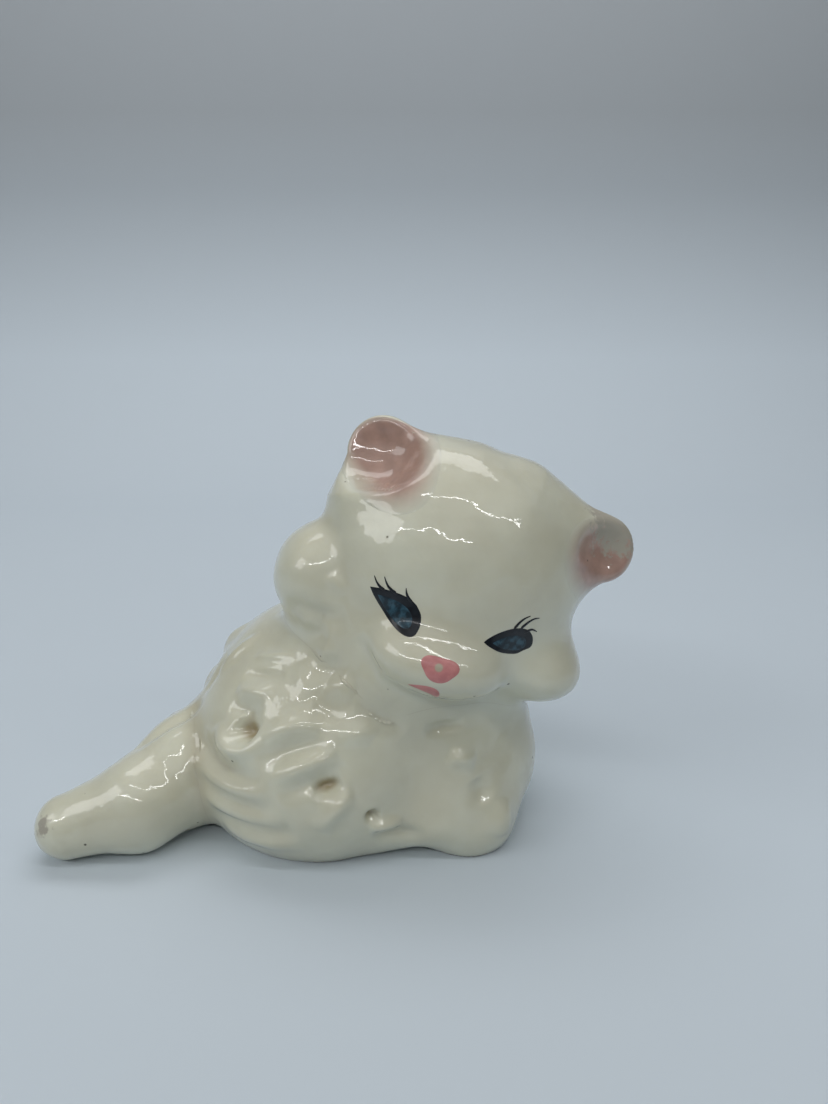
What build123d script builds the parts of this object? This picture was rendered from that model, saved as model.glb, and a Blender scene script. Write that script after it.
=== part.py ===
from build123d import *
import os
from math import asin, cos, degrees, sin, radians, sqrt

# A sitting kitten in glazed, hand-painted earthenware. Head, body and tail are slip-cast hollow, the head
# and the tail are luted to the body with a layer of slip, and the face is painted in enamel on the glaze.
# Millimetres, +Z up. The kitten's chest faces -Y and its left side is +X. The origin is on the resting
# plane, under the body. "Left" and "right" are always the kitten's own.

# Castings
wall = 3.0              # wall of the body and the head
tail_wall = 2.4
slip_thickness = 0.4    # layer of slip that joins two castings
vent_diameter = 3.0     # lets the trapped air out of a hollow while it dries and fires
base_hole_diameter = 3.5
enamel_thickness = 0.12

# Trunk
trunk_length = 50.0
trunk_width = 44.4
base_cut = 3.7          # height of the trunk that the flat foot takes off
trunk_x = -1.0
trunk_y = 5.0

# Haunches, hind foot and forelegs
right_haunch_width = 32.0
right_haunch_height = 38.4
right_haunch_x = -14.0
right_haunch_z = 8.0
left_haunch_width = 28.0
left_haunch_height = 35.0
left_haunch_x = 12.0
left_haunch_z = 11.0
haunch_y = 6.0
hind_foot_width = 18.0
hind_foot_height = 16.0
chest_width = 30.0
foreleg_spacing = 17.0
foreleg_width = 18.0
paw_width = 15.5

# Head, turned to the kitten's right and tipped over
head_width = 44.0
head_height = 40.0
head_seat = 16.1        # how far the bottom of the head sits below the top of the trunk
head_setback = 5.5      # how far the middle of the head is behind the front of the trunk
head_turn = -59.0
head_nod = -2.0
head_tip = 16.0
muzzle_width = 21.6
muzzle_height = 12.0
cheek_width = 17.4
ruff_width = 16.0
ear_root_width = 20.5
ear_tip_width = 9.6
ear_scoop_diameter = 13.0
nose_length = 3.6       # how far the muzzle stands in front of the head

# Tail
tail_root_width = 24.0
tail_bend_width = 18.0
tail_tip_width = 9.6
tail_reach = 19.0       # from the bend to the middle of the tip

# Enamel
eye_length = 7.6
eye_height = 3.6
eye_spacing = 18.0
eye_drop = 4.5
eyeliner_width = 0.5
lash_length = 2.0
lash_width = 0.35
lash_tip_width = 0.12
nose_width = 4.8
nose_height = 3.2
nose_drop = 9.6
mouth_width = 4.0
mouth_height = 1.3
mouth_drop = 12.9

# Places that follow from the sizes
trunk_radius = trunk_width / 2
trunk_front = trunk_y - trunk_length / 2
trunk_top = trunk_width - base_cut
head_radius = head_height / 2
head_half_width = head_width / 2
head_centre = Vector(0.6, trunk_front + head_setback, trunk_top + head_radius - head_seat)
head_place = Plane(Location(head_centre, (head_turn, head_nod, head_tip), Intrinsic.ZXY))
muzzle_radius = muzzle_width / 2
muzzle_y = muzzle_radius - head_radius - nose_length
tail_root = Vector(right_haunch_x, trunk_y + trunk_length / 2 - 12, tail_root_width / 2)
tail_bend = tail_root + Vector(-15, 5, (tail_bend_width - tail_root_width) / 2)
tail_direction = Vector(-0.88, 0.45, 0).normalized()
tail_tip = tail_bend + tail_direction * tail_reach + Vector(0, 0, (tail_tip_width - tail_bend_width) / 2)


def on_head(x, y, z):
    """A point given in the head's own directions: left, back and up from its middle."""
    return head_place.from_local_coords(Vector(x, y, z))


def half_section(place):
    """The plane through a turned form's axis, which is the z direction of its place."""
    return Plane(place.origin, x_dir=place.x_dir, z_dir=-place.y_dir)


def spheroid(place, half_length, radius, mode=Mode.ADD):
    """A ball stretched or flattened along the z direction of its place."""
    ball = scale(Sphere(radius, mode=Mode.PRIVATE), by=(1, 1, half_length / radius), mode=Mode.PRIVATE)
    add(place.location * ball, mode=mode)


def turned_taper(start, end, start_radius, end_radius, mode=Mode.ADD):
    """Two balls with a cone between them that is tangent to both."""
    run = end - start
    lean = asin((start_radius - end_radius) / run.length)
    place = Plane(start, z_dir=run)
    tangent = Vector(cos(lean), sin(lean))
    with BuildSketch(half_section(place)) as section:
        with BuildLine():
            foot = CenterArc((0, 0), start_radius, -90, 90 + degrees(lean))
            top = CenterArc((0, run.length), end_radius, degrees(lean), 90 - degrees(lean))
            Line(tangent * start_radius, Vector(0, run.length) + tangent * end_radius)
            Line(top @ 1, foot @ 0)
        make_face()
    revolve(section.sketch, axis=Axis(start, place.z_dir), mode=mode)


# The forms that the three castings are made of. Each can be grown, for a socket, or shrunk, for a hollow.


def trunk(grow=0.0, mode=Mode.ADD):
    middle = Vector(trunk_x, trunk_y, trunk_radius - base_cut)
    place = Plane(middle, x_dir=(0, 0, -1), z_dir=(0, 1, 0))
    spheroid(place, trunk_length / 2 + grow, trunk_radius + grow, mode)


def haunches(grow=0.0, mode=Mode.ADD):
    for x, z, width, height in (
        (right_haunch_x, right_haunch_z, right_haunch_width, right_haunch_height),
        (left_haunch_x, left_haunch_z, left_haunch_width, left_haunch_height),
    ):
        place = Plane((x, haunch_y, z), x_dir=(0, 0.2, -1), z_dir=(1, 0, 0))
        spheroid(place, width / 2 + grow, height / 2 + grow, mode)


def chest(grow=0.0, mode=Mode.ADD):
    top = Vector(1, trunk_front + 11, trunk_top - 8.7)
    bottom = Vector(3, trunk_front + 6, 14)
    turned_taper(top, bottom, chest_width / 2 + grow, chest_width / 2 + grow, mode)


def feet(grow=0.0, mode=Mode.ADD):
    hind_foot = Vector(right_haunch_x - 3, haunch_y - 13, hind_foot_height / 2 - base_cut + 0.7)
    spheroid(Plane(hind_foot), hind_foot_height / 2 + grow, hind_foot_width / 2 + grow, mode)
    for side in (-1, 1):
        shoulder = Vector(0.5 + side * foreleg_spacing / 2, trunk_front + 7, 22)
        paw = Vector(1 + side * foreleg_spacing / 2, trunk_front - 0.5, paw_width / 2 - base_cut)
        turned_taper(shoulder, paw, foreleg_width / 2 + grow, paw_width / 2 + grow, mode)


def skull(grow=0.0, mode=Mode.ADD):
    place = Plane(head_centre, x_dir=head_place.z_dir, z_dir=head_place.x_dir)
    spheroid(place, head_half_width + grow, head_radius + grow, mode)


def muzzle(grow=0.0, mode=Mode.ADD):
    place = Plane(on_head(0, muzzle_y, -10.8), x_dir=head_place.y_dir, z_dir=head_place.z_dir)
    spheroid(place, muzzle_height / 2 + grow, muzzle_radius + grow, mode)


def cheeks(grow=0.0, mode=Mode.ADD):
    left_cheek = Plane(on_head(head_half_width - 6.5, -4, -9), z_dir=head_place.z_dir)
    spheroid(left_cheek, cheek_width / 2 - 0.7 + grow, cheek_width / 2 + grow, mode)
    right_ruff = Plane(on_head(0.5 - head_half_width, 6, -8), z_dir=head_place.z_dir)
    spheroid(right_ruff, ruff_width / 2 + grow, ruff_width / 2 + grow, mode)


def ears(grow=0.0, mode=Mode.ADD):
    right_root = on_head(8.5 - head_half_width, 4, head_radius - 12)
    right_tip = on_head(4.5 - head_half_width, 5, head_radius - 3.7)
    left_root = on_head(head_half_width - 9, 2, head_radius - 13)
    left_tip = on_head(head_half_width + 2, 2, head_radius - 10.5)
    for root, tip in ((right_root, right_tip), (left_root, left_tip)):
        turned_taper(root, tip, ear_root_width / 2 + grow, ear_tip_width / 2 + grow, mode)


def ear_scoop(side, grow=0.0, mode=Mode.ADD):
    """The ball that dishes the front of one ear."""
    if side < 0:
        middle = on_head(4.5 - head_half_width, -6.5, head_radius - 3.5)
    else:
        middle = on_head(head_half_width + 1, -6.5, head_radius - 11)
    spheroid(Plane(middle), ear_scoop_diameter / 2 + grow, ear_scoop_diameter / 2 + grow, mode)


def tail_forms(grow=0.0, mode=Mode.ADD):
    root_radius = tail_root_width / 2 + grow
    bend_radius = tail_bend_width / 2 + grow
    tip_radius = tail_tip_width / 2 + grow
    turned_taper(tail_root, tail_bend, root_radius, bend_radius, mode)
    turned_taper(tail_bend, tail_tip, bend_radius, tip_radius, mode)


def head_outside(grow=0.0, mode=Mode.ADD):
    skull(grow, mode)
    muzzle(grow, mode)
    cheeks(grow, mode)
    ears(grow, mode)


def body_outside(grow=0.0, mode=Mode.ADD):
    trunk(grow, mode)
    haunches(grow, mode)
    chest(grow, mode)
    feet(grow, mode)


def below(height):
    """Everything lower than a height, to cut a flat foot or leave a floor."""
    with Locations((0, 0, height)):
        Box(300, 300, 100, align=(Align.CENTER, Align.CENTER, Align.MAX), mode=Mode.SUBTRACT)


def vent(start, end):
    """A hole pricked through a joint from one hollow into the next."""
    with BuildSketch(Plane(start, z_dir=end - start)) as hole:
        Circle(vent_diameter / 2)
    extrude(hole.sketch, amount=(end - start).length, mode=Mode.SUBTRACT)


def neck_vent():
    vent(head_centre, head_centre - Vector(0, 0, head_radius + slip_thickness + wall + 1))


def tail_vent():
    vent(tail_bend, tail_root)


def finish(piece, name):
    """Name a finished piece and write it out."""
    piece.label = name
    export_step(piece, f"parts/{name}.step")


os.makedirs("parts", exist_ok=True)

# Head: hollow, with both ears, the cheek and the ruff cast on, and the ear hollows dished

with BuildPart() as head_hollow:
    skull(-wall)
    muzzle(-wall)
    for side in (-1, 1):
        ear_scoop(side, wall, Mode.SUBTRACT)

with BuildPart() as head_solid:
    head_outside()

with BuildPart() as head_casting:
    add(head_solid.part)
    for side in (-1, 1):
        ear_scoop(side, mode=Mode.SUBTRACT)
    add(head_hollow.part, mode=Mode.SUBTRACT)
    neck_vent()
finish(head_casting.part, "head_casting")

# Body: hollow, with a dished seat for the head, a flat foot and a drain hole

with BuildPart() as body_hollow:
    trunk(-wall)
    haunches(-wall)
    chest(-wall)
    head_outside(slip_thickness + wall, Mode.SUBTRACT)
    below(wall)

with BuildPart() as body_solid:
    body_outside()
    below(0)

with BuildPart() as body_casting:
    add(body_solid.part)
    head_outside(slip_thickness, Mode.SUBTRACT)
    add(body_hollow.part, mode=Mode.SUBTRACT)
    neck_vent()
    tail_vent()
    with Locations((trunk_x, trunk_y + 6, 0)):
        Cylinder(base_hole_diameter / 2, 2 * wall + 2, mode=Mode.SUBTRACT)
finish(body_casting.part, "body_casting")

# Tail: hollow, its root shaped to the haunch

with BuildPart() as tail_hollow:
    tail_forms(-tail_wall)
    body_outside(slip_thickness + tail_wall, Mode.SUBTRACT)

with BuildPart() as tail_solid:
    tail_forms()
    below(0)

with BuildPart() as tail_casting:
    add(tail_solid.part)
    body_outside(slip_thickness, Mode.SUBTRACT)
    add(tail_hollow.part, mode=Mode.SUBTRACT)
    tail_vent()
finish(tail_casting.part, "tail_casting")

# Slip: the layers that fill the two joints

with BuildPart() as neck_slip_joint:
    head_outside(slip_thickness)
    add(body_solid.part, mode=Mode.INTERSECT)
    add(head_solid.part, mode=Mode.SUBTRACT)
    neck_vent()
finish(neck_slip_joint.part, "neck_slip_joint")

with BuildPart() as tail_slip_joint:
    body_outside(slip_thickness)
    add(tail_solid.part, mode=Mode.INTERSECT)
    add(body_solid.part, mode=Mode.SUBTRACT)
    tail_vent()
finish(tail_slip_joint.part, "tail_slip_joint")

# Pink stain in the hollows of the ears


def ear_pink(side):
    """The skin of colour on the dished front of one ear."""
    with BuildPart() as skin:
        ear_scoop(side)
        ear_scoop(side, -enamel_thickness, Mode.SUBTRACT)
        add(head_solid.part, mode=Mode.INTERSECT)
    return skin.part


finish(ear_pink(-1), "right_ear_pink")
finish(ear_pink(1), "left_ear_pink")

# Eyes: a dark almond outline, the iris inside it and three lashes, brushed on the front of the head


def eye_plane(side):
    """A plane in front of one eye, looking straight out of the head."""
    x = side * eye_spacing / 2
    y = -head_radius * sqrt(1 - (x / head_half_width) ** 2 - (eye_drop / head_radius) ** 2)
    outward = (on_head(x, y, -eye_drop) - head_centre).normalized()
    return Plane(head_centre + outward * 2 * head_half_width, x_dir=head_place.x_dir, z_dir=outward)


def almond(side, trim=0.0, mode=Mode.ADD):
    """Two arcs that meet at the corners of an eye, the outer one higher."""
    half_length = eye_length / 2 - 1.6 * trim
    half_height = eye_height / 2 - trim
    inner = (-side * half_length, -0.5)
    outer = (side * half_length, 0.5)
    with BuildLine() as lids:
        ThreePointArc(inner, (-side * 0.5, half_height), outer)
        ThreePointArc(outer, (-side * 0.5, -half_height), inner)
    make_face(lids.edges(), mode=mode)


def brushed_on_head(sketch):
    """The layer of enamel that a flat outline leaves on the front of the head."""
    with BuildPart() as layer:
        extrude(sketch, amount=-2 * head_half_width)
        skull(enamel_thickness, Mode.INTERSECT)
        add(head_solid.part, mode=Mode.SUBTRACT)
    return layer.part


def eye_outline(side):
    with BuildSketch(eye_plane(side)) as ring:
        almond(side)
        almond(side, eyeliner_width, Mode.SUBTRACT)
    return brushed_on_head(ring.sketch)


def eye_iris(side):
    with BuildSketch(eye_plane(side)) as iris:
        almond(side, eyeliner_width)
    return brushed_on_head(iris.sketch)


def eyelashes(side):
    """Three strokes that run up and out from the upper lid, each thinning to a point."""
    with BuildSketch(eye_plane(side)) as strokes:
        for share, angle in ((0.1, 78), (0.5, 58), (0.85, 38)):
            along = Vector(side * cos(radians(angle)), sin(radians(angle)))
            across = Vector(-along.Y, along.X)
            root = Vector(side * share * eye_length / 2, eye_height / 2 - share * 0.9)
            tip = root + along * lash_length
            with BuildLine() as rim:
                Polyline(
                    root - across * lash_width / 2,
                    root + across * lash_width / 2,
                    tip + across * lash_tip_width / 2,
                    tip - across * lash_tip_width / 2,
                    close=True,
                )
            make_face(rim.edges())
        almond(side, mode=Mode.SUBTRACT)
    return brushed_on_head(strokes.sketch)


for side, name in ((-1, "right"), (1, "left")):
    finish(eye_outline(side), f"{name}_eye_outline")
    finish(eye_iris(side), f"{name}_eye_iris")
    finish(eyelashes(side), f"{name}_eyelashes")

# Nose and mouth: pink enamel on the muzzle


def muzzle_plane(x, drop):
    """A plane in front of the muzzle that faces straight ahead."""
    return Plane(on_head(x, -2 * head_radius, -drop), x_dir=head_place.x_dir, z_dir=-head_place.y_dir)


def brushed_on_muzzle(sketch):
    """The layer of enamel that a flat outline leaves on the front of the muzzle."""
    with BuildPart() as layer:
        extrude(sketch, amount=muzzle_y - 2 * head_radius)
        muzzle(enamel_thickness, Mode.INTERSECT)
        add(head_solid.part, mode=Mode.SUBTRACT)
    return layer.part


with BuildSketch(muzzle_plane(-0.4, nose_drop)) as nose_outline:
    with BuildLine():
        Polyline(
            (-nose_width / 2, nose_height / 2),
            (nose_width / 2, nose_height / 2),
            (nose_width / 5, -nose_height / 2),
            (-nose_width / 5, -nose_height / 2),
            close=True,
        )
    make_face()
    fillet(nose_outline.vertices(), nose_height / 8)
finish(brushed_on_muzzle(nose_outline.sketch), "nose_enamel")

with BuildSketch(muzzle_plane(-1.4, mouth_drop)) as mouth_outline:
    with BuildLine():
        upper_lip = ThreePointArc((-mouth_width / 2, 0), (0, mouth_height / 2), (mouth_width / 2, -0.2))
        ThreePointArc(upper_lip @ 1, (0, -mouth_height / 4), upper_lip @ 0)
    make_face()
finish(brushed_on_muzzle(mouth_outline.sketch), "mouth_enamel")
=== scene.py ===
import bpy
import numpy as np
from mathutils import Matrix, Vector


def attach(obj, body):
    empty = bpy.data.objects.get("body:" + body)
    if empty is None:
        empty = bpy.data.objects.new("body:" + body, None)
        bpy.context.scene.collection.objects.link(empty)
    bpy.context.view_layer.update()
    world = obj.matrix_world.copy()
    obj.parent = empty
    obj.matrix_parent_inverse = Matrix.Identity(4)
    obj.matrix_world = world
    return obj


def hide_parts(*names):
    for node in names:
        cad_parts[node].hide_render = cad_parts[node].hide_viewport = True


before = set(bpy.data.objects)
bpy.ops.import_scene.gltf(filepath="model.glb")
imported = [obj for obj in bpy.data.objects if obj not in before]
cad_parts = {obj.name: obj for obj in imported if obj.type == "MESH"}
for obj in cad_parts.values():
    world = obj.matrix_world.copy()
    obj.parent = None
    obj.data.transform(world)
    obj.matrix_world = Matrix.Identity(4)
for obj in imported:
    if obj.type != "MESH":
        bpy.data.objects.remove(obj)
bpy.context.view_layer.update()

# The body, tail and head castings
# Slip-cast earthenware, each from its own plaster mould, and glazed ivory once they are stuck together. The
# moulds come from one clay model, whose balls and limbs run softly into each other. Lengths here are in
# millimetres, and left and right are the kitten's own: +X is its left, -Y its front and +Z is up.

MILLIMETRE = 0.001


def turn_about(turn, nod, tip):
    """Turn about Z times nod about X times tip about Y, in degrees; its columns are left, back and up."""
    a, b, c = np.radians([turn, nod, tip])
    about_z = np.array([[np.cos(a), -np.sin(a), 0], [np.sin(a), np.cos(a), 0], [0, 0, 1]])
    about_x = np.array([[1, 0, 0], [0, np.cos(b), -np.sin(b)], [0, np.sin(b), np.cos(b)]])
    about_y = np.array([[np.cos(c), 0, np.sin(c)], [0, 1, 0], [-np.sin(c), 0, np.cos(c)]])
    return about_z @ about_x @ about_y


def ball(points, middle, radii):
    """Distance to a stretched ball: k (k - 1) / m.

    k is the length of the offset over the radii, and m that of the offset over their squares.
    """
    offset = points - np.asarray(middle, points.dtype)
    radii = np.asarray(radii, points.dtype)
    k = np.sqrt(((offset / radii) ** 2).sum(-1)) + 1e-6
    m = np.sqrt(((offset / radii**2) ** 2).sum(-1)) + 1e-7
    return k * (k - 1) / m


def limb(points, start, end, start_radius, end_radius):
    """Distance to a tapered limb: from the nearest point of its line, less the radius there."""
    start = np.asarray(start, points.dtype)
    run = np.asarray(end, points.dtype) - start
    offset = points - start
    along = np.clip(offset @ run / (run @ run), 0, 1)
    gap = offset - along[..., None] * run
    return np.sqrt((gap**2).sum(-1)) - (start_radius + (end_radius - start_radius) * along)


def join(a, b, width):
    """The nearer of two forms, less a quarter of width times the square of how closely they tie."""
    tie = np.maximum(width - np.abs(a - b), 0) / width
    return np.minimum(a, b) - tie * tie * width / 4


def carve(form, tool, width):
    """A form with another cut out of it, its lip rounded over a width."""
    return -join(-form, tool, width)


def body_form(p):
    """Trunk, haunches, hind feet, chest and forelegs, joined one after another."""
    form = ball(p, (-4, 4, 18.5), (23.5, 25, 19))
    form = join(form, ball(p, (-15.5, 5, 11.5), (18, 22, 17)), 5)
    form = join(form, ball(p, (-13.5, -10, 6), (7, 13.5, 6)), 5)
    form = join(form, ball(p, (10, 7, 11), (15.5, 18, 17)), 5)
    form = join(form, ball(p, (14.5, -3, 4.5), (7.5, 12, 6.5)), 4)
    form = join(form, limb(p, (1, -9, 32), (1, -16, 10.5), 14, 14), 6)
    form = join(form, limb(p, (-8, -13, 22), (-7, -22.5, 5), 9, 8), 4)
    return join(form, limb(p, (9.5, -15, 23), (5, -16.5, 7), 9, 8.5), 4)


def tail_form(p):
    """Three tapered limbs on end, from inside the haunch round a bend to the tip, all lying on the shelf."""
    form = limb(p, (-14, 18, 12), (-25.6, 21.8, 9.4), 11, 9.4)
    form = join(form, limb(p, (-25.6, 21.8, 9.4), (-36.5, 24, 7.4), 9.4, 7.4), 2)
    return join(form, limb(p, (-36.5, 24, 7.4), (-44.4, 31.8, 5.2), 7.4, 5.2), 2)


head_middle = np.array([0.6, -14.5, 44.6])
head_axes = turn_about(-59, -2, 16)


def in_head(points):
    """Points in the head's own directions, from the middle of the skull."""
    return (points - head_middle.astype(points.dtype)) @ head_axes.astype(points.dtype)


def out_of_head(points):
    """Points given in the head's own directions, back in the kitten's."""
    return head_middle + np.asarray(points, float) @ head_axes.T


def head_form(p):
    """Skull, muzzle, left cheek, right ruff and scooped ears, then the beard, in the kitten's directions."""
    q = in_head(p)
    form = ball(q, (0, 0, 0), (22, 18.5, 21))
    form = join(form, ball(q, (0, -14.5, -11), (11, 8.5, 5.5)), 4.5)
    form = join(form, ball(q, (17, -5, -10.5), (8, 10, 6)), 5)
    form = join(form, ball(q, (-20.5, -1, -6.5), (8, 10, 9)), 3)
    right_ear = limb(q, (-14, 0, 10), (-16.5, 1, 16), 9.5, 5.4)
    right_ear = join(right_ear, limb(q, (-16.5, 1, 15.5), (-4, 1, 11.5), 4.8, 8.5), 3)
    left_ear = limb(q, (14, 1, 5.5), (23, 0, 9.8), 10, 5.2)
    left_ear = join(left_ear, limb(q, (23, 0, 9.8), (9, 1, 12), 4.8, 8), 3)
    form = join(form, join(right_ear, left_ear, 1), 4)
    form = carve(form, ball(q, (-19, -6.5, 18), (9, 8.5, 8)), 2.5)
    form = carve(form, ball(q, (25.5, -9, 12), (7.5, 7.5, 7.5)), 1.6)
    return join(form, limb(p, (-13.5, -4, 37), (-14, -11, 27), 6, 5.5), 5)


def model_of(body, tail, head):
    """The whole model's distance from its three forms': tail joined to body, and both to the head."""
    return join(join(body, tail, 2.5), head, 6)


def whole_form(p):
    """The whole model."""
    return model_of(body_form(p), tail_form(p), head_form(p))


def slope(form, points, step=0.04):
    """How fast a form's distance grows along each axis, and its value, from four points of a tetrahedron."""
    corners = np.array([[1, 1, 1], [1, -1, -1], [-1, 1, -1], [-1, -1, 1]], points.dtype)
    values = [form(points + corner * points.dtype.type(step)) for corner in corners]
    way = sum(value[..., None] * corner for value, corner in zip(values, corners)) / (4 * step)
    return way, sum(values) / 4


def settle(form, points, rounds=3):
    """Points moved onto a form's skin, each round by its distance along its slope."""
    for _ in range(rounds):
        way, value = slope(form, points)
        points = points - (value / ((way**2).sum(-1) + 1e-6))[..., None] * way
    return points


def on_coat(turn, height):
    """A stroke's line on the clay, from degrees round from the chest and heights, marched in to the skin."""
    way = np.stack([-np.sin(np.radians(turn)), -np.cos(np.radians(turn)), np.zeros_like(turn)], -1)
    start = np.stack([np.zeros_like(turn), np.zeros_like(turn), height], -1)
    reach = np.full(len(turn), 60.0)
    for _ in range(40):
        reach -= 0.8 * whole_form(start + way * reach[:, None])
    return start + way * reach[:, None]


# Locks of fur, drawn in the clay with a loop tool, fan by fan. A fan has its number of locks and its first
# and last; the others lie evenly between them, and every second one has its height turned over. A lock is
# its height, less than nothing for a groove, its half width, the degrees round from the chest and the height
# where it starts, the degrees that it runs forwards, its rise on the way, and how far its middle bows up.
haunch_fans = [
    (4, (0.6, 0.9, 118, 31, 22, 1.5, 0), (1.0, 1.3, 112, 24.5, 14, 1, 0)),
    (2, (-2.4, 1.9, 106, 23.5, 9, -1.5, 0), (-1.5, 1.4, 113, 22, 19, 0, -2.5)),
    (4, (1.1, 1.7, 97, 21, 20, 3, 1.5), (0.9, 1.4, 86, 14.5, 19, 5, 0)),
    (6, (-1.6, 1.9, 121, 19, 30, -2.5, -1.5), (-0.8, 1.9, 108, 5.5, 30, 1, 0)),
    (2, (-2.0, 1.1, 77, 15.5, 9, 1.5, 0), (-1.2, 1.5, 75, 9, 10, 6, 1)),
    (3, (-1.8, 0.9, 62, 10.5, 5, 0, 0), (-1.0, 1.2, 60, 6.5, 18, -1, 0.5)),
]
chest_fans = [
    (5, (0.8, 1.8, 96, 41, 12, -2.5, -0.5), (0.8, 1.8, 78, 30.5, 12, -1.5, 0)),
    (3, (0.8, 2.0, 93, 32, 10, -4, 0), (0.8, 1.8, 71, 22.5, 12, 0, 1)),
    (3, (-0.8, 1.7, 66, 38, 10, -5, 0), (-0.8, 1.7, 66, 27, 18, -4, 1)),
    (2, (-1.1, 1.8, 102, 42, 32, -1, -1.5), (-0.6, 1.2, 80, 47, 8, -3, 0)),
    (4, (-1.1, 1.0, 41, 23, 16, 0, 0), (-0.9, 2.2, 16, 10, -4, -6, 0)),
]


def fan(count, first, last):
    """The locks of a fan, evenly between its first and its last."""
    part = np.linspace(0, 1, count)[:, None]
    rows = (1 - part) * np.array(first, float) + part * np.array(last, float)
    rows[1::2, 0] *= -1
    return [tuple(row) for row in rows]


haunch_locks = [lock for row in haunch_fans for lock in fan(*row)]
locks = haunch_locks + [lock for row in chest_fans for lock in fan(*row)]
for height, width, turn, z, run, rise, bow in haunch_locks:
    locks.append((height, width, -turn - 3, z + 0.5, -run, rise, bow))
golden = 0.618
back_locks, back_start, back_turn = 34, 128, 108
for i in range(back_locks):
    turn = back_start + back_turn * (golden * i % 1)
    side = (-1) ** i
    locks.append((0.9 * side, 1.3 + 0.2 * (i % 3), turn, 33 - 0.85 * i, -3 * side, -7, 0))
left_chest_locks, left_chest_start, left_chest_turn = 14, -16, -48
for i in range(left_chest_locks):
    turn = left_chest_start + left_chest_turn * (golden * i % 1)
    locks.append((0.8 * (-1) ** i, 1.5, turn, 32 - 1.7 * i, 4, -6, 0))
along = np.linspace(0, 1, 14)
for i, (height, width, turn, z, run, rise, bow) in enumerate(locks):
    line = on_coat(turn - run * along, z + rise * along + 4 * bow * along * (1 - along))
    locks[i] = (height, width, line.astype(np.float32))


def lock_height(points, height, width, line):
    """One lock's rise: height exp(-(distance / width) squared), thinning by a parabola to both ends."""
    risen = np.zeros(points.shape[:-1], points.dtype)
    near = ((points > line.min(0) - 3 * width) & (points < line.max(0) + 3 * width)).all(-1)
    if not near.any():
        return risen
    p = points[near]
    best = np.full(len(p), 1e9, points.dtype)
    place = np.zeros(len(p), points.dtype)
    runs = len(line) - 1
    for i in range(runs):
        start, run = line[i], line[i + 1] - line[i]
        along = np.clip((p - start) @ run / (run @ run + 1e-9), 0, 1)
        gap = ((p - start - along[:, None] * run) ** 2).sum(-1)
        closer = gap < best
        best = np.where(closer, gap, best)
        place = np.where(closer, (i + along) / runs, place)
    thinning = 1 - (2 * place - 1) ** 2
    risen[near] = height * thinning * np.exp(-best / width**2)
    return risen


def unevenness(points):
    """The touch of the fingers: two sizes of gentle waves, each a product of three leaning sines."""
    x, y, z = np.moveaxis(points, -1, 0)
    broad = np.sin(x / 2.3 + np.sin(y / 3.1)) * np.sin(y / 2.6 + 1.3 * np.sin(z / 3.7))
    broad = broad * np.sin(z / 2.4 + x / 9)
    fine = np.sin(x / 0.9 + 1.7 * np.sin(z / 2.2)) * np.sin(y / 1.1 + z / 1.7) * np.sin(z / 0.8 - y / 3)
    return 0.13 * broad + 0.025 * fine


def relief(points):
    """The height of all the locks together."""
    return sum(lock_height(points, height, width, line) for height, width, line in locks)


def skin(points):
    """The finished clay: the whole form, raised by its fur and its unevenness."""
    return whole_form(points) - relief(points) - unevenness(points)


cells = 120


def ball_grid(cells):
    """Six square grids on a cube's sides, spread by the tangent of even angles, pushed out to a unit ball."""
    even = np.tan(np.linspace(-np.pi / 4, np.pi / 4, cells + 1))
    u, v = np.meshgrid(even, even, indexing="ij")
    corner = np.arange(cells * (cells + 1)).reshape(cells, cells + 1)[:, :-1].ravel()
    quad = np.stack([corner, corner + cells + 1, corner + cells + 2, corner + 1], -1)
    points, quads = [], []
    for axis in range(3):
        for side in (-1, 1):
            grid = np.stack([np.full_like(u, side), u * side, v], -1)
            points.append(np.roll(grid, axis, -1).reshape(-1, 3))
            quads.append(quad + len(quads) * u.size)
    points, quads = np.concatenate(points), np.concatenate(quads)
    _, first, same = np.unique(np.round(points, 6), axis=0, return_index=True, return_inverse=True)
    points = points[first]
    return points / np.linalg.norm(points, axis=1, keepdims=True), same.reshape(-1)[quads]


def neighbours(quads, count):
    """Both ends of every edge, each edge once, and how many edges meet at each point."""
    ends = np.concatenate([quads[:, [i, (i + 1) % 4]] for i in range(4)])
    ends = np.unique(np.sort(ends, 1), axis=0)
    return ends, np.bincount(ends.ravel(), minlength=count)


def spread(points, ends, counts):
    """The mean of each point's neighbours."""
    total = np.zeros_like(points)
    for i in range(3):
        total[:, i] = np.bincount(ends[:, 0], points[ends[:, 1], i], len(points))
        total[:, i] += np.bincount(ends[:, 1], points[ends[:, 0], i], len(points))
    return total / counts[:, None].astype(points.dtype)


skirt = 0.5
skirt_dip = 0.07


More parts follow.
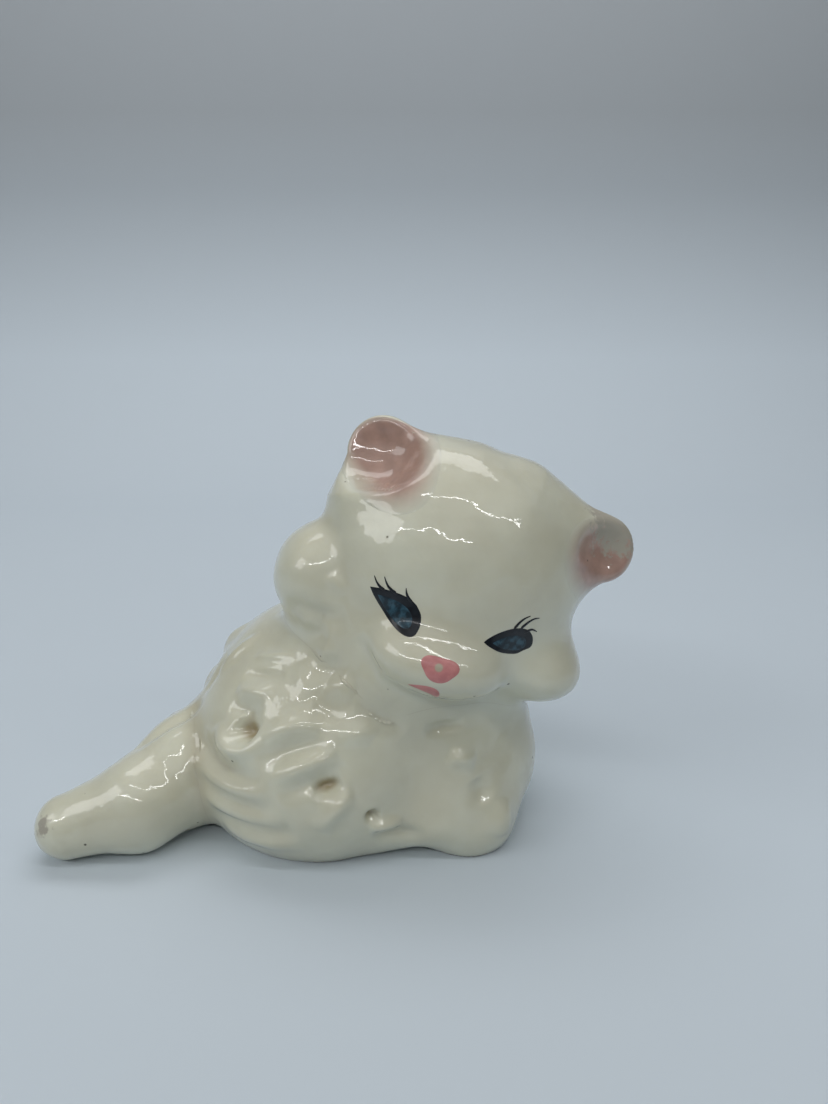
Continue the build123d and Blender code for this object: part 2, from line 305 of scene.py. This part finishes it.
def cast(which, middle, cells):
    """The skin of one casting: a ball grid, out from the middle until the model or the casting's side ends.

    Past the seam it runs on a little way as a skirt that dips under the next casting's skin.
    """
    way, quads = ball_grid(cells)
    way = way.astype(np.float32)
    middle = np.asarray(middle, np.float32)

    def model_and_side(p):
        """Distances to the model, and to the end of the side where the casting's own form is the nearer."""
        forms = [body_form(p), tail_form(p), head_form(p)]
        model = model_of(*forms)
        own = forms.pop(which)
        return model, (own - np.minimum(*forms)) / 2 - skirt

    def solid(p):
        """The model, cut off at the end of the casting's side."""
        return np.maximum(*model_and_side(p))

    reach = np.full(len(way), 4, np.float32)
    for _ in range(30):
        reach -= 0.8 * solid(middle + way * reach[:, None])
    points = middle + way * reach[:, None]
    ends, counts = neighbours(quads, len(points))
    for _ in range(8):
        points = settle(solid, points + 0.7 * (spread(points, ends, counts) - points), 1)
    points = settle(solid, points, 1)
    outer = model_and_side(points)[0] > -0.08
    shown = points[outer]
    way, _ = slope(whole_form, shown)
    past = np.clip((model_and_side(shown)[1] + skirt) / 0.3, 0, 1)
    points[outer] = shown + (relief(shown) + unevenness(shown) - skirt_dip * past)[:, None] * way
    return points, quads


def piece(name, points, quads, marks=None):
    """A mesh object from points in millimetres, with one number a point for each named mark."""
    mesh = bpy.data.meshes.new(name)
    mesh.vertices.add(len(points))
    mesh.vertices.foreach_set("co", (np.asarray(points, np.float32) * MILLIMETRE).ravel())
    mesh.loops.add(quads.size)
    mesh.loops.foreach_set("vertex_index", quads.astype(np.int32).ravel())
    mesh.polygons.add(len(quads))
    mesh.polygons.foreach_set("loop_start", np.arange(0, quads.size, quads.shape[1], dtype=np.int32))
    mesh.update(calc_edges=True)
    mesh.shade_smooth()
    mesh.set_sharp_from_angle(angle=np.radians(50))
    for mark, numbers in (marks or {}).items():
        layer = mesh.attributes.new(mark, "FLOAT", "POINT")
        layer.data.foreach_set("value", np.asarray(numbers, np.float32))
    thing = bpy.data.objects.new(name, mesh)
    bpy.context.scene.collection.objects.link(thing)
    return thing


drain_hole = (-1, 11)
drain_radius = 1.75
drain_depth = 2.5


def on_shelf(points):
    """Heights kept from falling under zero, and raised to the drain hole's floor inside its circle."""
    points = points.copy()
    inside = np.hypot(*(points[:, :2] - drain_hole).T) < drain_radius
    points[:, 2] = np.where(inside & (points[:, 2] < 1), drain_depth, np.maximum(points[:, 2], 0))
    return points


def coloured(nodes, links, below, above, factor):
    """A colour laid over another by a factor, each a colour or the output that carries it."""
    mix = nodes.new("ShaderNodeMix")
    mix.data_type = "RGBA"
    for socket, value in (("Factor", factor), ("A", below), ("B", above)):
        if isinstance(value, bpy.types.NodeSocket):
            links.new(value, mix.inputs[socket])
        else:
            mix.inputs[socket].default_value = value
    return mix.outputs["Result"]


def between(nodes, links, value, low, high):
    """A number taken from 0 at low to 1 at high, held at both ends."""
    ramp = nodes.new("ShaderNodeMapRange")
    ramp.inputs["From Min"].default_value = low
    ramp.inputs["From Max"].default_value = high
    links.new(value, ramp.inputs["Value"])
    return ramp.outputs["Result"]


def noise(nodes, links, place, scale, detail):
    """A noise of so many waves to the metre."""
    made = nodes.new("ShaderNodeTexNoise")
    made.inputs["Scale"].default_value = scale
    made.inputs["Detail"].default_value = detail
    links.new(place, made.inputs["Vector"])
    return made.outputs["Fac"]


def mark(nodes, name):
    """The number that a mesh carries under a name."""
    made = nodes.new("ShaderNodeAttribute")
    made.attribute_name = name
    return made.outputs["Fac"]


def product(nodes, links, a, b, operation="MULTIPLY"):
    """Two numbers multiplied, or put together by another operation."""
    made = nodes.new("ShaderNodeMath")
    made.operation = operation
    for socket, value in zip(made.inputs, (a, b)):
        if isinstance(value, bpy.types.NodeSocket):
            links.new(value, socket)
        else:
            socket.default_value = value
    return made.outputs["Value"]


def glazed(name, stain=None):
    """Clear gloss glaze on ivory earthenware: cloudy, brown where pooled, bare where worn, with pinholes."""
    material = bpy.data.materials.new(name)
    material.use_nodes = True
    nodes, links = material.node_tree.nodes, material.node_tree.links
    shader = nodes["Principled BSDF"]
    place = nodes.new("ShaderNodeTexCoord").outputs["Object"]
    cloud = between(nodes, links, noise(nodes, links, place, 90, 4), 0.35, 0.65)
    colour = coloured(nodes, links, (0.68, 0.68, 0.545, 1), (0.61, 0.595, 0.46, 1), cloud)
    if stain:
        blotch = between(nodes, links, noise(nodes, links, place, 420, 3), 0.2, 0.7)
        tone = coloured(nodes, links, stain, tuple(0.72 * c for c in stain[:3]) + (1,), blotch)
        colour = coloured(nodes, links, colour, tone, mark(nodes, "pink"))
    colour = coloured(nodes, links, colour, (0.34, 0.27, 0.14, 1), mark(nodes, "pooled"))
    ragged = noise(nodes, links, place, 900, 5)
    worn = between(nodes, links, product(nodes, links, mark(nodes, "worn"), ragged, "ADD"), 0.82, 0.98)
    colour = coloured(nodes, links, colour, (0.40, 0.375, 0.31, 1), worn)
    cell = nodes.new("ShaderNodeTexVoronoi")
    cell.inputs["Scale"].default_value = 260
    links.new(place, cell.inputs["Vector"])
    chosen = nodes.new("ShaderNodeSeparateColor")
    links.new(cell.outputs["Color"], chosen.inputs["Color"])
    near = between(nodes, links, cell.outputs["Distance"], 0.075, 0.04)
    pinhole = product(nodes, links, near, product(nodes, links, chosen.outputs["Red"], 0.5, "GREATER_THAN"))
    colour = coloured(nodes, links, colour, (0.09, 0.075, 0.04, 1), pinhole)
    links.new(colour, shader.inputs["Base Color"])
    roughness = product(nodes, links, product(nodes, links, worn, 0.4), 0.4, "ADD")
    links.new(roughness, shader.inputs["Roughness"])
    links.new(product(nodes, links, 1.0, worn, "SUBTRACT"), shader.inputs["Coat Weight"])
    shader.inputs["Coat Roughness"].default_value = 0.04
    shader.inputs["Subsurface Weight"].default_value = 0.15
    shader.inputs["Subsurface Radius"].default_value = (1.0, 0.9, 0.6)
    shader.inputs["Subsurface Scale"].default_value = 0.0015
    ripple = product(nodes, links, noise(nodes, links, place, 480, 2), pinhole, "SUBTRACT")
    bump = nodes.new("ShaderNodeBump")
    bump.inputs["Strength"].default_value = 0.5
    bump.inputs["Distance"].default_value = 0.00012
    links.new(ripple, bump.inputs["Height"])
    links.new(bump.outputs["Normal"], shader.inputs["Normal"])
    links.new(bump.outputs["Normal"], shader.inputs["Coat Normal"])
    return material


ivory_glaze = glazed("ivory_glaze")
pooling_depth = 1.0
worn_places = ((out_of_head((24.2, -0.6, 15)), 7), (np.array((-48, 32, 7)), 2.2))


def glaze_marks(points):
    """Where glaze pooled, in deep grooves and at the tail's seam, and where it is worn or was wiped off.

    Worn places are near the left ear's tip and the tail's tip, and the foot is dry.
    """
    worn = np.clip((0.25 - points[:, 2]) / 0.2, 0, 1)
    for middle, radius in worn_places:
        worn = np.maximum(worn, 0.62 * np.clip(1.4 - np.linalg.norm(points - middle, axis=1) / radius, 0, 1))
    seam = np.exp(-(((tail_form(points) - body_form(points)) / 1.8) ** 2)) * (np.abs(whole_form(points)) < 1)
    depth = -relief(settle(whole_form, points, 2))
    pooled = 0.85 * np.clip((depth - pooling_depth) / 0.9, 0, 1)
    return {"pooled": np.maximum(pooled, 0.32 * seam), "worn": worn}


castings = (
    ("body", 0, (-1, -2, 17), cells),
    ("tail", 1, (-29, 23, 9), cells // 2),
    ("head", 2, head_middle, cells),
)
for name, which, middle, grid_cells in castings:
    points, quads = cast(which, middle, grid_cells)
    thing = piece(name, on_shelf(points), quads, glaze_marks(points))
    thing.data.materials.append(ivory_glaze)
    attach(thing, "root")
    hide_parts(name + "_casting")

# The slip joints
# The castings are stuck together leather-hard with a line of liquid clay, wiped nearly flush before glazing.
# It shows only as a fine bead at the bottom of each crease, where dirt and thick glaze have gathered.


def crease(first, second, middle, axis, count=160):
    """The closed line on the skin where two forms are equally near: a ring round an axis, settled on both."""
    axis = np.asarray(axis, float) / np.linalg.norm(axis)
    side = np.cross(axis, (0, 0, 1))
    side /= np.linalg.norm(side)
    up = np.cross(side, axis)
    turn = np.linspace(0, 2 * np.pi, count, endpoint=False)
    way = np.cos(turn)[:, None] * side + np.sin(turn)[:, None] * up
    reach = np.full(count, 30.0)
    for _ in range(60):
        reach -= 0.6 * whole_form(np.asarray(middle, float) + way * reach[:, None])
    line = np.asarray(middle, float) + way * reach[:, None]
    for _ in range(14):
        line = settle(lambda p: (first(p) - second(p)) / 2, line, 1)
        line = settle(whole_form, line, 1)
        line = 0.5 * line + 0.25 * (np.roll(line, 1, 0) + np.roll(line, -1, 0))
    line = settle(lambda p: (first(p) - second(p)) / 2, line, 2)
    return settle(whole_form, line, 2)


def bead(line, radius, sunk):
    """Rings of eight points round a closed line on the skin, sunk so that only the top shows."""
    way, _ = slope(whole_form, line)
    way /= np.linalg.norm(way, axis=1, keepdims=True)
    line = line + (relief(line) + unevenness(line) - sunk)[:, None] * way
    along = np.roll(line, -1, 0) - np.roll(line, 1, 0)
    across = np.cross(along, way)
    across /= np.linalg.norm(across, axis=1, keepdims=True)
    turn = np.linspace(0, 2 * np.pi, 8, endpoint=False)[None, :, None]
    ring = line[:, None] + radius * (np.cos(turn) * across[:, None] + np.sin(turn) * way[:, None])
    index = np.arange(len(line) * 8).reshape(-1, 8)
    ahead, step = np.roll(index, -1, 0), np.roll(index, -1, 1)
    quads = np.stack([index, ahead, np.roll(ahead, -1, 1), step], -1).reshape(-1, 4)
    return ring.reshape(-1, 3), quads


slip = glazed("luting_slip")
bead_radius = 0.5
bead_sunk = 0.47
joints = {
    "neck_slip": (body_form, head_form, (-1, -12, 30), (0, -0.1, 1), 0.15),
    "tail_slip": (tail_form, body_form, (-24, 20, 9.5), (-0.9, 0.44, 0), 0.4),
}
for name, (first, second, middle, axis, stain) in joints.items():
    line = crease(first, second, middle, axis)
    points, quads = bead(line, bead_radius, bead_sunk)
    points[:, 2] = np.maximum(points[:, 2], 0)
    thing = piece(name, points, quads, {"pooled": np.full(len(points), stain)})
    thing.data.materials.append(slip)
    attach(thing, "root")
    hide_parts(name + "_joint")

# The pink ears
# Underglaze pink is brushed into each ear's dish and out over its rim, and left to fade as the brush dries.


def round_triangle(middle, wide, high, lobe, turn):
    """An oval by its cosine and sine, swollen at three corners by lobe times cos 3 (angle - turn)."""
    def outline(angle):
        swollen = 1 + lobe * np.cos(3 * (angle - np.radians(turn)))
        return middle + swollen[:, None] * np.stack([wide * np.cos(angle), high * np.sin(angle)], -1)
    return outline


def pillow_grid(cells):
    """Two square grids bent to a disc by u sqrt(1 - v v / 2), one above the other and sharing their rim."""
    even = np.linspace(-1, 1, cells + 1)
    u, v = np.meshgrid(even, even, indexing="ij")
    disc = np.stack([u * np.sqrt(1 - v * v / 2), v * np.sqrt(1 - u * u / 2)], -1).reshape(-1, 2)
    rim = ((np.abs(u) == 1) | (np.abs(v) == 1)).ravel()
    under = np.arange(disc.shape[0])
    under[~rim] = disc.shape[0] + np.arange((~rim).sum())
    corner = np.arange(cells * (cells + 1)).reshape(cells, cells + 1)[:, :-1].ravel()
    quads = np.stack([corner, corner + cells + 1, corner + cells + 2, corner + 1], -1)
    side = np.concatenate([np.where(rim, 0, 1), -np.ones((~rim).sum())])
    return np.concatenate([disc, disc[~rim]]), side, np.concatenate([quads, under[quads][:, ::-1]])


def patch(outline, deepest, proud, cells=40):
    """A skin of colour: a pillow grid stretched to an outline in the head's left and up, pushed back to clay.

    It is proud of the clay by its thickness times one less the eighth power of how far out a point is.
    """
    disc, side, quads = pillow_grid(cells)
    far = np.linalg.norm(disc, axis=1)
    middle = outline(np.linspace(0, 2 * np.pi, 72, endpoint=False)).mean(0)
    flat = middle + far[:, None] * (outline(np.arctan2(disc[:, 1], disc[:, 0])) - middle)
    back = np.full(len(flat), -28.0)
    for _ in range(30):
        start = out_of_head(np.stack([flat[:, 0], back, flat[:, 1]], -1))
        back = np.minimum(back + 0.85 * skin(start), deepest)
    settled = settle(skin, out_of_head(np.stack([flat[:, 0], back, flat[:, 1]], -1)), 5)
    way, _ = slope(skin, settled)
    lift = np.where(side > 0, proud * (1 - far**8), np.where(side < 0, -0.15, -0.02))
    return settled + lift[:, None] * way, quads, far


ear_pink = glazed("ear_pink", (0.52, 0.33, 0.265, 1))
ears = {
    "right": (round_triangle((-15.5, 16), 8.8, 7.6, 0.05, 60), 1),
    "left": (round_triangle((23, 9), 7.8, 7.6, 0.06, 45), 0),
}
for side, (outline, deepest) in ears.items():
    points, quads, far = patch(outline, deepest, 0.12, 60)
    marks = glaze_marks(points)
    marks["pink"] = np.clip((1 - far) / 0.4, 0, 1) ** 1.2
    thing = piece(side + "_ear_stain", points, quads, marks)
    thing.data.materials.append(ear_pink)
    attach(thing, "root")
    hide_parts(side + "_ear_pink")

# The eyes
# Each eye is an almond of black enamel with a smaller patch of dark blue on it, and three black lashes drawn
# with a liner brush, fired on over the glaze. The enamel stands a little proud and is glossy.


def enamel(name, colour, second, scale=700, gloss=0.12):
    """Glossy enamel of two tones in soft streaks, with a slightly lumpy face."""
    material = bpy.data.materials.new(name)
    material.use_nodes = True
    nodes, links = material.node_tree.nodes, material.node_tree.links
    shader = nodes["Principled BSDF"]
    place = nodes.new("ShaderNodeTexCoord").outputs["Object"]
    streak = between(nodes, links, noise(nodes, links, place, scale, 4), 0.42, 0.66)
    colour = coloured(nodes, links, colour, second, streak)
    colour = coloured(nodes, links, colour, (0.45, 0.40, 0.30, 1), mark(nodes, "chip"))
    links.new(colour, shader.inputs["Base Color"])
    shader.inputs["Roughness"].default_value = 0.35
    shader.inputs["Specular IOR Level"].default_value = 0.25
    shader.inputs["Coat Weight"].default_value = 0.35
    shader.inputs["Coat Roughness"].default_value = gloss
    bump = nodes.new("ShaderNodeBump")
    bump.inputs["Strength"].default_value = 0.5
    bump.inputs["Distance"].default_value = 0.0001
    links.new(noise(nodes, links, place, 1500, 2), bump.inputs["Height"])
    links.new(bump.outputs["Normal"], shader.inputs["Normal"])
    return material


eye_black = enamel("eye_black", (0.004, 0.006, 0.010, 1), (0.012, 0.016, 0.022, 1))
eye_blue = enamel("eye_blue", (0.007, 0.020, 0.030, 1), (0.036, 0.095, 0.135, 1), 900)


def almond(sharp, blunt, above, below):
    """A line from a sharp corner to a blunt one, by the cosine of the angle, bulged over and under it.

    The bulge is 1.3 sin(angle) cos(angle / 2) times its height, which comes to a point at the sharp corner.
    """
    sharp, blunt = np.array(sharp, float), np.array(blunt, float)
    over = np.array([sharp[1] - blunt[1], blunt[0] - sharp[0]]) / np.linalg.norm(blunt - sharp)

    def outline(angle):
        bulge = 1.3 * np.sin(angle) * np.abs(np.cos(angle / 2))
        bulge = bulge * np.where(bulge > 0, above, below)
        return sharp + np.outer((1 + np.cos(angle)) / 2, blunt - sharp) + np.outer(bulge, over)
    return outline


def iris_of(sharp, blunt, above, below):
    """A smaller almond inside an eye, with more black left over it than under it."""
    sharp = np.array(sharp)
    long = np.array(blunt) - sharp
    return almond(sharp + 0.15 * long, sharp + 0.9 * long, 0.58 * above, 0.72 * below)


face_depth = -8
eyes = {
    "right": ((-13, -2.6), (-4.6, -6.5), 3.1, 1.7),
    "left": ((5.5, -5.5), (13.8, -5.2), 2.8, 1.6),
}
# A lash's place from the sharp corner to the blunt one along the lid, its length, and its lean in degrees.
lashes = {
    "right": [(0.15, 2.9, 150), (0.34, 3, 146), (0.62, 1.9, 128)],
    "left": [(0.6, 3.1, 45), (0.76, 3.8, 32), (0.9, 2.4, 18)],
}
lash_width = 0.55
lash_root = 0.4
lash_thickness = 0.06
ring_points = 8
lash_rings = 13


def lash_strokes(strokes, depth):
    """Rings of eight points along each lash on the clay, thinning to its tip, closed at both ends."""
    points, faces = [], []
    turn = np.linspace(0, 2 * np.pi, ring_points, endpoint=False)
    t = np.linspace(0, 1, lash_rings)
    for start, end in strokes:
        bow = np.array([-(end[1] - start[1]), end[0] - start[0]]) * 0.12
        flat = np.outer(1 - t, start) + np.outer(t, end) + np.outer(np.sin(np.pi * t), bow)
        before = np.stack([flat[:, 0], np.full(lash_rings, depth), flat[:, 1]], -1)
        line = settle(skin, out_of_head(before), 6)
        way, _ = slope(skin, line)
        across = np.cross(np.gradient(line, axis=0), way)
        across /= np.linalg.norm(across, axis=1, keepdims=True)
        wide = lash_width / 2 * (1 - 0.8 * t**1.5) * np.clip(8 * t + 0.3, 0, 1)
        ring = across[:, None] * np.cos(turn)[None, :, None] * wide[:, None, None]
        ring = ring + way[:, None] * (np.sin(turn)[None, :, None] + 0.5) * lash_thickness
        index = np.arange(lash_rings * ring_points).reshape(lash_rings, ring_points)
        index = index + index.size * len(points)
        step = np.roll(index, -1, 1)
        faces += np.stack([index[:-1], step[:-1], step[1:], index[1:]], -1).reshape(-1, 4).tolist()
        faces += [index[0].tolist(), index[-1].tolist()[::-1]]
        points.append((line[:, None] + ring).reshape(-1, 3))
    return np.concatenate(points), faces


for side in ("right", "left"):
    lid = almond(*eyes[side])
    points, quads, far = patch(lid, face_depth, 0.07)
    outline = piece(side + "_eye_line", points, quads)
    points, quads, far = patch(iris_of(*eyes[side]), face_depth, 0.13)
    iris = piece(side + "_eye_blue", points, quads)
    strokes = []
    for place, length, lean in lashes[side]:
        root = lid(np.arccos([2 * place - 1]))[0]
        way = np.array([np.cos(np.radians(lean)), np.sin(np.radians(lean))])
        strokes.append((root - lash_root * way, root + length * way))
    points, faces = lash_strokes(strokes, -17)
    mesh = bpy.data.meshes.new(side + "_lashes")
    mesh.from_pydata((points * MILLIMETRE).tolist(), [], faces)
    mesh.shade_smooth()
    lash = bpy.data.objects.new(side + "_lashes", mesh)
    bpy.context.scene.collection.objects.link(lash)
    painted = (
        (outline, eye_black, "_eye_outline", "eye_black"),
        (iris, eye_blue, "_eye_iris", "eye_blue"),
        (lash, eye_black, "_eyelashes", "eye_black"),
    )
    for thing, colour, node, slot in painted:
        thing.data.materials.append(colour)
        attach(thing, "root")
        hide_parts(side + node)

# The nose and mouth
# Two dabs of rose enamel from a small round brush: a rounded wedge for the nose, chipped through to the clay
# near its middle, and a short bent stroke for the mouth.

nose_pink = enamel("nose_pink", (0.60, 0.25, 0.24, 1), (0.50, 0.19, 0.19, 1), 500, 0.3)
dabs = {
    "nose": round_triangle((-0.2, -9.8), 2.8, 1.8, 0.12, -90),
    "mouth": almond((-3.9, -13.8), (1.1, -14.9), 1.8, -0.3),
}
chip_middle = out_of_head((-0.4, -22.5, -9.6))
chip_radius = 0.75
for name, outline in dabs.items():
    points, quads, far = patch(outline, face_depth, 0.08)
    off_chip = np.linalg.norm(points - chip_middle, axis=1)
    chip = np.clip((chip_radius - off_chip) / 0.2, 0, 1)
    thing = piece(name + "_paint", points, quads, {"chip": chip})
    thing.data.materials.append(nose_pink)
    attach(thing, "root")
    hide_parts(name + "_enamel")

# The stage
# A pale sweep of card, painted darker towards its top as painted shade for the dimmer light there, soft
# lights overhead, behind and at the left, two long bright strips, and the camera.

heading = np.array([np.cos(np.radians(30)), np.sin(np.radians(30))])
sideways = np.array([heading[1], -heading[0]])
flat_start, flat_end, half_width = -2500, 240, 2500
bend_radius, top = 160, 900
steps = np.linspace(0, np.pi / 2, 30)[1:]
run = np.concatenate([np.linspace(flat_start, flat_end, 12), flat_end + bend_radius * np.sin(steps)])
run = np.append(run, flat_end + bend_radius)
rise = np.concatenate([np.zeros(12), bend_radius * (1 - np.cos(steps)), [top]])
ground = run[:, None, None] * heading + np.array([-half_width, half_width])[None, :, None] * sideways
sweep_points = np.concatenate([ground, np.broadcast_to(rise[:, None, None], (len(run), 2, 1))], -1)
lines = 2 * np.arange(len(run) - 1)
sweep_quads = np.stack([lines, lines + 2, lines + 3, lines + 1], -1)
floor = piece("sweep", sweep_points.reshape(-1, 3), sweep_quads)
card = bpy.data.materials.new("sweep_card")
card.use_nodes = True
nodes, links = card.node_tree.nodes, card.node_tree.links
height = nodes.new("ShaderNodeSeparateXYZ")
links.new(nodes.new("ShaderNodeTexCoord").outputs["Object"], height.inputs["Vector"])
# Painted shade: the card turns a darker, greyer colour towards its top, standing in for the dimmer light that
# reaches the top of the sweep.
painted_top_shade = between(nodes, links, height.outputs["Z"], 0.06, 0.20)
card_with_painted_shade = coloured(nodes, links, (0.61, 0.685, 0.75, 1), (0.40, 0.43, 0.455, 1), painted_top_shade)
links.new(card_with_painted_shade, nodes["Principled BSDF"].inputs["Base Color"])
nodes["Principled BSDF"].inputs["Roughness"].default_value = 0.85
floor.data.materials.append(card)


def area_light(name, place, aim, along, size, power):
    """A rectangular lamp: its back is the way from aim to place, its long side lies along a direction."""
    back = (Vector(place) - Vector(aim)).normalized()
    short = back.cross(Vector(along)).normalized()
    lamp = bpy.data.lights.new(name, "AREA")
    lamp.shape = "RECTANGLE"
    lamp.size, lamp.size_y = size
    lamp.energy = power
    thing = bpy.data.objects.new(name, lamp)
    turn = Matrix((short.cross(back), short, back)).transposed()
    thing.matrix_world = Matrix.Translation(place) @ turn.to_4x4()
    bpy.context.scene.collection.objects.link(thing)


area_light("overhead", (0.1, 0.0, 0.8), (0, 0, 0), (1, 0, 0), (1.5, 1.5), 1.75)
area_light("window", (-0.55, 0.36, 0.48), (-0.02, 0, 0.03), (0.57, 0.82, 0), (0.36, 0.30), 0.95)
area_light("back_wall", (0.20, 0.11, 0.60), (0.44, 0.25, 0.05), (0.5, -0.87, 0), (0.6, 0.3), 1.35)
area_light("strip_a", (-0.09, -0.20, 0.42), (-0.01, -0.01, 0.03), (0.35, -0.94, 0), (0.6, 0.012), 0.38)
area_light("strip_b", (-0.46, -0.16, 0.42), (-0.01, -0.01, 0.03), (0.2, -0.98, 0), (0.7, 0.014), 0.85)

world = bpy.data.worlds.new("room")
world.use_nodes = True
world.node_tree.nodes["Background"].inputs["Color"].default_value = (0.86, 0.88, 0.86, 1)
world.node_tree.nodes["Background"].inputs["Strength"].default_value = 0.075
bpy.context.scene.world = world
bpy.context.scene.view_settings.view_transform = "Standard"

lens = bpy.data.cameras.new("camera")
lens.sensor_fit = "VERTICAL"
lens.sensor_height = 36
lens.lens = 27.07
lens.clip_start = 0.005
camera = bpy.data.objects.new("camera", lens)
camera.location = (-0.1185, -0.0761, 0.0856)
camera.rotation_euler = (np.radians(90 - 16), 0, np.radians(-60))
bpy.context.scene.collection.objects.link(camera)
bpy.context.scene.camera = camera
